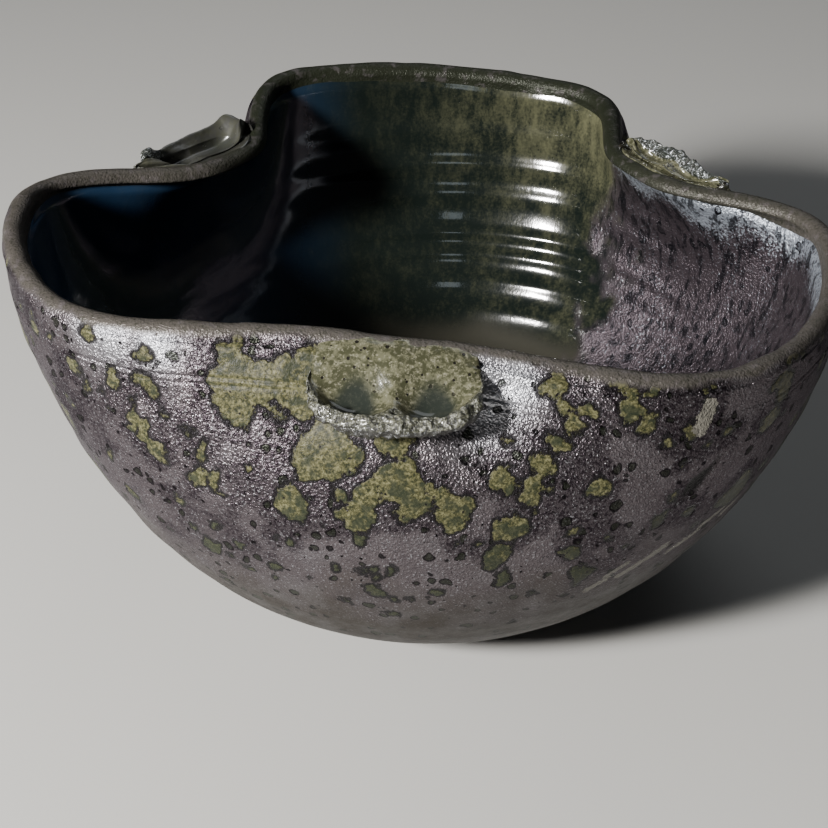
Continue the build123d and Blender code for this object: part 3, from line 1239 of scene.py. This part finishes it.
    def lip(self) -> Array:
        """Rows over the lip.

        Formula: a half circle across the wall's thickness, with its top raised and its sides moved
        by slow noise, as fingers leave it.

        Returns:
            The rows, from the outside to the inside.
        """
        angle = around(self.columns)
        turn = (np.pi * np.linspace(0.0, 1.0, self.lip_rows))[:, None]
        half = FORM.wall / 2.0
        inset = half * (1.0 - np.cos(turn))
        height = FORM.rim_height(angle) - half * (1.0 - np.sin(turn))
        flat = FORM.lay(angle, np.ones_like(turn), inset, height)
        lump = LatticeNoise(11.0, 12).at(flat) * 0.35 + LatticeNoise(4.0, 13).at(flat) * 0.14
        inset, height = inset - lump * np.cos(turn), height + lump * np.sin(turn)
        return FORM.lay(angle, np.ones_like(turn), inset, height)

    def inside(self) -> Array:
        """Rows down the inside wall, which the liner glaze covers but for a band under the lip.

        Returns:
            The rows, from the lip down to the floor.
        """
        angle = around(self.columns)
        share = (1.0 - np.linspace(0.0, 1.0, self.inside_rows) ** 1.4)[:, None] * self.inside_top
        inset = FORM.wall
        bottom = FORM.bottom(inset)
        height = bottom + share * (FORM.rim_height(angle) - bottom)
        return FORM.lay(angle, share, inset, height)

    def build(self) -> bpy.types.Object:
        """Builds the wall and floor from the middle of the underside, over the lip, to the middle of
        the floor.

        Returns:
            The piece.
        """
        outside, inside = self.outside(), self.inside()
        under, floor = disc(outside[:1]), disc(inside[-1:])[::-1]
        rows = np.concatenate([under, outside, self.lip(), inside, floor])
        spots = np.full(rows.shape[:2], SpotField.outside)
        top = len(under) + len(outside) + self.lip_rows // 3
        spots[:top] = SpotField().at(rows[:top])
        drop = FORM.rim_height(around(self.columns)) - rows[..., 2]
        worn = 1.2 + 0.9 * LatticeNoise(6.0, 21).at(rows)
        over = smooth(worn - drop, -0.8, 0.8)
        over[top + 1 :] = 1.0
        gouge, chips_and_glints = np.zeros(rows.shape[:2]), np.full(rows.shape[:2], -3.0)
        gouge[:top] = self.gouge(rows[:top])
        # Chips, and the pale streaks that are painted glints.
        chips_and_glints[:top] = self.chips_and_glints_at(rows[:top])
        marks = {"spots": spots, "lip": over, "gouge": gouge, "chips_and_glints": chips_and_glints}
        marks["dusky"] = self.clouds(rows, self.dusky)
        # Painted sheen: the patches of bright silver colour that stand in for highlights.
        marks["painted_sheen"] = self.clouds(rows, self.silvery)
        return GridPiece("thrown_bowl_clay", rows, marks=marks).build()

    def dress(self, piece: bpy.types.Object) -> None:
        """Glazes the outside and the lip."""
        present(piece, LustreGlaze().make(), ["thrown_bowl"])


# Throwing rings inside: height, half width and size of each, in millimetres.
RIDGES = (
    (33.0, 1.9, 0.75),
    (39.5, 2.0, 0.8),
    (45.5, 1.7, 0.7),
    (50.5, 1.8, 0.8),
    (60.0, 2.6, 0.6),
    (67.5, 2.6, 0.7),
    (76.0, 3.0, 0.35),
)


@dataclass(frozen=True)
class LinerCoat:
    """The coat of glaze inside, over the throwing rings.

    Attributes:
        columns: points round the bowl.
        thickness: thickness of the coat.
        stop: how far below the rim it ends.
        edge: over how much of its height it thins to nothing at the top.
        sunk: how far its hidden back lies inside the clay.
        edge_sunk: how far its top edge does.
        ring_angle: the middle of the back lobe, where the throwing rings are strongest.
        ring_reach: how far from there they start to fade, and where they have faded.
        lustre_angle, lustre_reach: the middle of the lobe that has lustre, and how far it reaches.
        lustre_edge: over how far the lustre fades on either side of that.
        lustre_floor: the heights between which it starts.
        band_drop: how far below the rim its blue bloom ends, and where it is full.
        low_height: the heights between which the coat turns smooth and thin.
    """

    columns: int = 720
    thickness: float = 0.75
    stop: float = 3.2
    edge: float = 3.0
    sunk: float = 0.5
    edge_sunk: float = 0.25
    ring_angle: float = 75.0
    ring_reach: Tuple[float, float] = (28.0, 52.0)
    lustre_angle: float = -6.0
    lustre_reach: float = 62.0
    lustre_edge: float = 4.0
    lustre_floor: Tuple[float, float] = (19.0, 26.0)
    band_drop: Tuple[float, float] = (16.0, 5.0)
    low_height: Tuple[float, float] = (34.0, 28.0)

    def ridges(self, height: Array, angle: Array) -> Array:
        """The throwing rings that show through the coat.

        Formula: rounded ridges at uneven heights that drift a little round the bowl; each is a
        bell, steeper on its upper side. They are strongest in the back lobe.

        Args:
            height: heights on the wall.
            angle: degrees around the bowl.

        Returns:
            How far they stand out, in millimetres.
        """
        turn = np.radians(angle)
        drift = 0.8 * np.sin(turn + 1.0) + 0.5 * np.sin(2.0 * turn)
        total = 0.0
        for centre, width, size in RIDGES:
            gap = height - centre - drift
            total = total + size * np.exp(-((gap / np.where(gap > 0, width * 0.7, width)) ** 2))
        full, gone = self.ring_reach
        return total * (0.10 + 0.7 * smooth(np.abs(turn_from(angle, self.ring_angle)), gone, full))

    def build(self) -> bpy.types.Object:
        """Builds the coat as a closed shell.

        Formula: its hidden back goes up inside the clay, and its face comes down from the top edge
        to the middle of the floor. The face stands out from the clay by the coat's thickness, the
        throwing rings and slow noise, all thinned to nothing at the top edge.

        Returns:
            The piece.
        """
        angle = around(self.columns)
        down = np.linspace(0.0, 1.0, 118)[:, None]
        top = FORM.rim_height(angle) - self.stop
        edge_noise = LatticeNoise(9.0, 31).at(FORM.lay(angle, 1.0, FORM.wall, top))
        top = top + 0.8 * edge_noise
        bottom = FORM.bottom(FORM.wall + self.thickness)
        height = bottom + (top - bottom) * (1.0 - down) ** 1.06
        share = FORM.share_at(angle, height, FORM.wall)
        flat = FORM.lay(angle, share, FORM.wall, height)
        thin = smooth(top - height, -0.2, self.edge)
        slow = 0.25 * LatticeNoise(17.0, 33).at(flat)
        floor = smooth(height, bottom, bottom + 6.0)
        thick = self.thickness + floor * (self.ridges(height, angle) + slow)
        coat = thin * (self.edge_sunk + thick) - self.edge_sunk
        face = FORM.lay(angle, share, FORM.wall + coat, height)
        back = FORM.lay(angle, share[::-12], FORM.wall - self.sunk, height[::-12] - 0.3)
        rows = np.concatenate([disc(back[:1]), back, face, disc(face[-1:])[::-1]])
        return GridPiece("liner_glaze_coat", rows, marks=self.marks(rows)).build()

    def marks(self, rows: Array) -> Dict[str, Array]:
        """Where the finish changes: the lustre in one lobe, which stops above the floor, the band
        under the lip, and the smooth glaze low down.

        Formula: smooth steps of the turn away from the lobe, of the drop below the rim and of the
        height, each moved by noise.

        Args:
            rows: the coat's points.

        Returns:
            The marks, from 0 to 1, by name.
        """
        angle = np.degrees(np.arctan2(rows[..., 1], rows[..., 0]))
        away = np.abs(turn_from(angle, self.lustre_angle))
        away = away + 7.0 * LatticeNoise(14.0, 35).at(rows) + 4.0 * LatticeNoise(3.5, 36).at(rows)
        drop = FORM.rim_height(angle) - rows[..., 2]
        drop = drop + 3.0 * LatticeNoise(8.0, 37).at(rows)
        low = rows[..., 2] + 2.0 * LatticeNoise(10.0, 38).at(rows)
        lustre = smooth(away, self.lustre_reach + self.lustre_edge, self.lustre_reach - self.lustre_edge)
        return {
            "lustre": lustre * smooth(low, *self.lustre_floor),
            "band": smooth(drop, *self.band_drop),
            "low": smooth(low, *self.low_height),
        }

    def dress(self, piece: bpy.types.Object) -> None:
        """Glazes the coat."""
        present(piece, LinerGlaze().make(), ["liner_glaze"])


@dataclass(frozen=True)
class ThumbLug:
    """A lug of clay slipped onto the outside of a press, with two thumb presses in its top.

    Attributes:
        place: which press it is on.
        angle: where its middle is, in degrees.
        crest_radius, crest_height: where its crest stands.
        width: its length along the wall.
        seed: which noise lumps it.
        floor_drop: how far below the crest the floor of the thumb presses is.
        saddle: how high the clay between them stands, from 0, not at all, to 1, at the crest.
        crust: how crusty it is.
        crusty_end: how crusty its anticlockwise end is.
        knob: how much its clockwise end is thickened.
        silver: how silvery its crust is.
        glazed: how much glaze has pooled in the thumb presses.
        crack: how deep the crack between the thumb presses is.
        thumb: half the width of a thumb press.
        gap: distance between their middles.
        body_drop: how far its underside is below the crest.
        stations, loop: points along it and round its section.
    """

    place: Place
    angle: float
    crest_radius: float
    crest_height: float
    width: float
    seed: int
    floor_drop: float = 3.6
    saddle: float = 0.95
    crust: float = 1.0
    crusty_end: float = 0.0
    knob: float = 0.0
    silver: float = 0.0
    glazed: float = 1.0
    crack: float = 0.0
    thumb: float = 7.7
    gap: float = 16.6
    body_drop: float = 5.6
    stations: int = 260
    loop: int = 190

    def thumbs(self, along: Array) -> Array:
        """How far down the thumb presses go at places along the lug, from 0 to 1.

        Formula: for each press, one less the squared distance from its middle in half widths; the
        larger of the two, with its foot rounded off.

        Args:
            along: distances from the lug's middle.

        Returns:
            The share.
        """
        first = 1.0 - ((along + self.gap / 2.0) / self.thumb) ** 2
        second = 1.0 - ((along - self.gap / 2.0) / self.thumb) ** 2
        deep = np.maximum(first, second)
        return 0.5 * (deep + np.sqrt(deep**2 + 0.02))

    def cross_loops(self) -> Tuple[Array, Array]:
        """Control points of the cross-section at each station along the wall.

        Each cross-section is given by how far its points stand out from the wall, for a lug whose
        crest stands 10 mm out, and by their heights. It starts inside the wall under the lip, goes
        down the wall into the thumb press, up to the crest, over it, down the outer face and back
        inside the wall. Towards both ends it shrinks onto the wall and its crest rises to the lip.

        Returns:
            The distances out and the heights, each as stations by control points.
        """
        side = np.linspace(-1.0, 1.0, self.stations)[:, None]
        along = side * self.width / 2.0
        angle = self.angle + np.degrees(along / self.crest_radius)
        end = np.clip(1.0 - np.abs(side) ** 3.6, 0.0, 1.0) ** (1.0 / 2.4)
        spine = np.concatenate([along, angle, np.zeros_like(along)], axis=1)
        wobble = LatticeNoise(7.0, self.seed + 7).at(spine)[:, None]
        lip = FORM.rim_height(angle) + 0.1 + 0.45 * wobble - 1.8 * (1.0 - end)
        lump = 1.7 * self.crusty_end * bell(side, 0.72, 0.16)
        knob = self.knob * bell(side, -0.80, 0.15) + lump
        crest = self.crest_height + 0.45 * wobble + knob
        crest = crest + (np.maximum(lip, crest - 3.0) - crest) * (1.0 - end) * 0.5
        wall = FORM.radius(angle, FORM.share_at(angle, crest))
        out = (self.crest_radius - wall + 1.0) * (1.0 + 0.05 * wobble) / 10.0 * end
        cup = self.thumbs(along)
        between = np.where(np.abs(along) < self.gap / 2.0, self.saddle, 1.0)
        floor = crest - self.floor_drop * (1.0 - between * (1.0 - cup))
        base = crest - self.body_drop * end**0.7
        solid = (1.0 - cup) * end
        controls = (
            (-3.0, lip - 1.0),
            (-1.9, lip),
            (-0.2 + 0.5 * end, lip - 1.4),
            (0.5 * out + 0.7 * solid, lip + (floor - lip) * 0.45),
            (0.9 * out + 1.1 * solid, lip + (floor - lip) * 0.80),
            (2.2 * out + 0.8 * solid, floor + 0.25),
            (4.2 * out, floor),
            (6.1 * out, floor + 0.30 * (crest - floor)),
            (7.7 * out, floor + 0.70 * (crest - floor)),
            (8.9 * out + 0.3 * knob, crest - 0.15),
            (9.9 * out + 0.5 * knob, crest - 1.5 * end),
            (9.6 * out + 0.3 * knob, crest - 0.47 * self.body_drop * end),
            (7.0 * out, crest - 0.80 * self.body_drop * end),
            (2.6 * out, base),
            (-1.6, base + 0.4),
            (-3.0, (base + lip) / 2.0),
        )
        outs = np.concatenate([np.broadcast_to(pair[0], side.shape) for pair in controls], axis=1)
        heights = np.concatenate([np.broadcast_to(pair[1], side.shape) for pair in controls], axis=1)
        return outs, heights

    def loop_weights(self, controls: int) -> Array:
        """Weights that turn control points into a smooth closed loop.

        Formula: a closed Catmull-Rom curve, cubic between neighbouring control points, with each
        slope half the step between the points on either side.

        Args:
            controls: how many control points there are.

        Returns:
            The weights, as points on the loop by control points.
        """
        place = np.arange(self.loop) * controls / self.loop
        start = np.floor(place).astype(int)
        t = place - start
        parts = (
            -0.5 * t + t**2 - 0.5 * t**3,
            1.0 - 2.5 * t**2 + 1.5 * t**3,
            0.5 * t + 2.0 * t**2 - 1.5 * t**3,
            -0.5 * t**2 + 0.5 * t**3,
        )
        weights = np.zeros((self.loop, controls))
        row = np.arange(self.loop)
        for step, part in enumerate(parts):
            weights[row, (start + step - 1) % controls] += part
        return weights

    def build(self) -> bpy.types.Object:
        """Builds the lug.

        Formula: the smooth closed cross-section is carried along the wall, each of its points
        standing out from the wall's radius at its own height, and then the surface is lumped along
        its normals by noise of three sizes, most on the crest and least in the thumb presses.

        Returns:
            The piece.
        """
        outs, heights = self.cross_loops()
        weights = self.loop_weights(outs.shape[1])
        out, height = outs @ weights.T, heights @ weights.T
        side = np.linspace(-1.0, 1.0, self.stations)[:, None]
        angle = self.angle + np.degrees(side * self.width / 2.0 / self.crest_radius)
        radius = FORM.radius(angle, FORM.share_at(angle, height)) + out
        turn = np.radians(angle)
        rows = np.stack([radius * np.cos(turn), radius * np.sin(turn), height], axis=-1)
        column = (np.arange(self.loop) / self.loop)[None, :]
        pool = self.pool(side, column)
        ridge = smooth(column, 0.40, 0.50) * smooth(column, 0.90, 0.80)
        ending = smooth(side, 0.42, 0.56) * (self.crusty_end > 0)
        crust = self.crust + (self.crusty_end - self.crust) * ending
        crust = crust * (0.12 + 0.88 * ridge) * (1.0 - pool)
        lumps = LatticeNoise(5.0, self.seed).at(rows) * 0.35
        grit = LatticeNoise(2.0, self.seed + 1).at(rows) * 0.50
        grit = grit + LatticeNoise(0.9, self.seed + 2).at(rows) * 0.32
        split = self.crack * bell(side * self.width / 2.0, 0.6, 0.9) * bell(column, 0.475, 0.035)
        rough = lumps * (0.35 + 0.65 * ridge) * (1.0 - pool) + grit * crust - split
        rows = rows + surface_normals(rows) * rough[..., None]
        bare = smooth(crust, 0.25, 0.1) * (self.crust < 0.5) * np.ones_like(rough)
        # A dark crust line with painted shade, from below the crest's outer edge round the underside.
        underside_crust_and_shade = smooth(column, 0.62, 0.72) * np.ones_like(rough)
        silver = self.silver * smooth(crust, 0.15, 0.4)
        marks = {"pool": pool, "crust": crust, "bare": bare, "underside_crust_and_shade": underside_crust_and_shade * (1.0 - bare), "silver": silver}
        return GridPiece(f"{self.place.value}_thumb_lug_clay", rows, marks=marks).build()

    def pool(self, side: Array, column: Array) -> Array:
        """Where glaze has pooled on the floor of the thumb presses, from 0 to 1.

        Formula: an oval round the middle of each press, on the grid of the lug's length and the
        way round its section.

        Args:
            side: places along the lug, from -1 to 1.
            column: places round its section, from 0 to 1.

        Returns:
            The share.
        """
        along = side * self.width / 2.0
        beside = np.minimum(np.abs(along - self.gap / 2.0), np.abs(along + self.gap / 2.0)) / self.thumb
        oval = np.sqrt((beside / 0.84) ** 2 + ((column - 0.335) / 0.185) ** 2)
        return self.glazed * smooth(oval, 1.05, 0.35)

    def dress(self, piece: bpy.types.Object, material: bpy.types.Material) -> None:
        """Glazes the lug."""
        present(piece, material, [f"{self.place.value}_thumb_lug"])


@dataclass(frozen=True)
class FootRing:
    """The turned ring that the bowl stands on.

    Attributes:
        columns: points round the ring.
        corner: radius of its bottom corners.
        taper: how far each of its sides leans in, from top to bottom.
        width: width at its foot.
        sunk: how far it goes on into the bowl.
    """

    columns: int = 360
    corner: float = 0.9
    taper: float = 1.2
    width: float = 6.5
    sunk: float = 0.2

    def build(self) -> bpy.types.Object:
        """Builds the ring from its CAD size, its section carried round the axis.

        Formula: the section runs from the inner side down, across the standing face and up the
        outer side, with its bottom corners rounded.

        Returns:
            The piece.
        """
        _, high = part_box("foot_ring")
        outer, top = high.x / MM, high.z / MM
        corner, taper = self.corner, self.taper
        inner = outer - taper - self.width
        inner_top = inner - taper
        bend = np.linspace(0.0, np.pi / 2.0, 6)
        radii = np.concatenate([
            [inner_top - 0.1, inner_top],
            inner + corner * (1.0 - np.cos(bend)),
            np.linspace(inner + corner, outer - taper - corner, 6)[1:-1],
            outer - taper - corner * (1.0 - np.sin(bend)),
            [outer, outer + 0.1],
        ])
        heights = np.concatenate([
            [top + self.sunk, top],
            corner * (1.0 - np.sin(bend)),
            np.zeros(4),
            corner * (1.0 - np.cos(bend)),
            [top, top + self.sunk],
        ])
        turn = np.radians(around(self.columns))
        radii, heights = radii[:, None], heights[:, None]
        x, y, z = np.broadcast_arrays(radii * np.cos(turn), radii * np.sin(turn), heights)
        rows = np.stack([x, y, z], axis=-1)
        return RingPiece("foot_ring_clay", np.swapaxes(rows, 0, 1)).build()

    def dress(self, piece: bpy.types.Object) -> None:
        """Leaves the ring bare clay."""
        present(piece, FiredClay().make(), ["foot_ring"])


# --------------------------------------------------------------------------------------------
# The studio
# --------------------------------------------------------------------------------------------


@dataclass(frozen=True)
class SoftBox:
    """A soft square light.

    Attributes:
        name: its name.
        azimuth: the direction it stands in, in degrees from +X.
        elevation: how high it stands, in degrees.
        away: its distance from the bowl, in metres.
        size: its edge, in metres.
        watts: its power.
        tint: its colour.
    """

    name: str
    azimuth: float
    elevation: float
    away: float
    size: float
    watts: float
    tint: Colour = (1.0, 1.0, 1.0)

    def hang(self, aim: Vector) -> None:
        """Hangs the light.

        Args:
            aim: the place that it points at, in metres.
        """
        light = bpy.data.lights.new(self.name, "AREA")
        light.shape = "SQUARE"
        light.size = self.size
        light.energy = self.watts
        light.color = self.tint
        lamp = link(self.name, light)
        turn, rise = math.radians(self.azimuth), math.radians(self.elevation)
        way = Vector((math.cos(turn) * math.cos(rise), math.sin(turn) * math.cos(rise), math.sin(rise)))
        lamp.location = aim + way * self.away
        lamp.rotation_euler = (-way).to_track_quat("-Z", "Y").to_euler()


@dataclass(frozen=True)
class Studio:
    """Camera, floor and lights.

    Attributes:
        azimuth: how far the camera stands round from -Y, in degrees towards +X.
        elevation: how far it looks down, in degrees.
        away: its distance from what it looks at, in metres.
        aim: what it looks at: level offset to the camera's right, and height, in metres.
        lens: focal length, in millimetres on the sensor.
        sensor: width of the camera's sensor, in millimetres.
        floor_colour: the floor's colour.
        floor_half: half the floor's edge, in metres.
        light_aim: the height that the lights point at, in metres.
        surroundings: colour of the dim light from all round.
        dimness: its strength.
        lights: the lights.
    """

    azimuth: float = 6.5
    elevation: float = 32.05
    away: float = 0.437
    aim: Tuple[float, float] = (-0.00285, 0.03906)
    lens: float = 77.7
    sensor: float = 36.0
    floor_colour: Colour = (0.39, 0.385, 0.37)
    floor_half: float = 3.0
    light_aim: float = 0.05
    surroundings: Colour = (0.5, 0.52, 0.55)
    dimness: float = 0.05
    lights: Tuple[SoftBox, ...] = (
        SoftBox("window_light", 231.0, 28.0, 0.9, 0.12, 31.0, (1.0, 0.98, 0.95)),
        SoftBox("front_light", 268.0, 27.0, 0.9, 0.12, 0.10, (0.80, 0.92, 1.0)),
        SoftBox("overhead_light", 75.0, 52.0, 1.2, 0.8, 2.4, (0.92, 0.96, 1.0)),
    )

    def set_camera(self) -> None:
        """Makes the camera and makes it the scene's."""
        camera = link("camera", bpy.data.cameras.new("camera"))
        camera.data.lens = self.lens
        camera.data.sensor_width = self.sensor
        camera.data.clip_start = 0.01
        turn, fall = math.radians(self.azimuth), math.radians(self.elevation)
        right = Vector((math.cos(turn), math.sin(turn), 0.0))
        level = Vector((-math.sin(turn), math.cos(turn), 0.0))
        look = level * math.cos(fall) - Vector((0.0, 0.0, math.sin(fall)))
        target = right * self.aim[0] + Vector((0.0, 0.0, self.aim[1]))
        camera.location = target - look * self.away
        camera.rotation_euler = look.to_track_quat("-Z", "Y").to_euler()
        bpy.context.scene.camera = camera

    def lay_floor(self) -> None:
        """Lays a plain pale floor under the bowl's foot."""
        half = self.floor_half
        mesh = bpy.data.meshes.new("floor")
        corners = [(-half, -half, 0.0), (half, -half, 0.0), (half, half, 0.0), (-half, half, 0.0)]
        mesh.from_pydata(corners, [], [(0, 1, 2, 3)])
        floor = link("floor", mesh)
        bench = Bench("floor_paper")
        floor.data.materials.append(bench.finish(Base_Color=self.floor_colour, Roughness=0.9))

    def light(self) -> None:
        """Hangs the lights and sets the dim surroundings."""
        for box in self.lights:
            box.hang(Vector((0.0, 0.0, self.light_aim)))
        world = bpy.data.worlds.new("surroundings")
        world.use_nodes = True
        background = world.node_tree.nodes["Background"]
        background.inputs["Color"].default_value = (*self.surroundings, 1.0)
        background.inputs["Strength"].default_value = self.dimness
        bpy.context.scene.world = world


LUGS = (
    ThumbLug(Place.FRONT, 271.5, 84.0, 90.9, 38.0, 40, floor_drop=2.6, silver=0.25, crack=1.4),
    ThumbLug(Place.BACK_LEFT, 151.5, 74.5, 93.6, 38.5, 50, floor_drop=4.6, saddle=0.1, crust=0.1,
             crusty_end=1.1, knob=1.8, silver=1.0, glazed=0.5, thumb=8.2),
    ThumbLug(Place.BACK_RIGHT, 36.5, 73.0, 92.0, 32.5, 60, saddle=0.35, silver=1.0, glazed=0.0, gap=14.5,
             thumb=6.6),
)


def main() -> None:
    logging.basicConfig(level=logging.INFO, format="%(name)s: %(message)s")
    studio = Studio()
    studio.set_camera()
    bowl = ThrownBowl()
    bowl.dress(bowl.build())
    liner = LinerCoat()
    liner.dress(liner.build())
    lug_glaze = LugGlaze().make()
    for lug in LUGS:
        lug.dress(lug.build(), lug_glaze)
    foot = FootRing()
    foot.dress(foot.build())
    studio.lay_floor()
    studio.light()


if __name__ == "__main__":
    main()
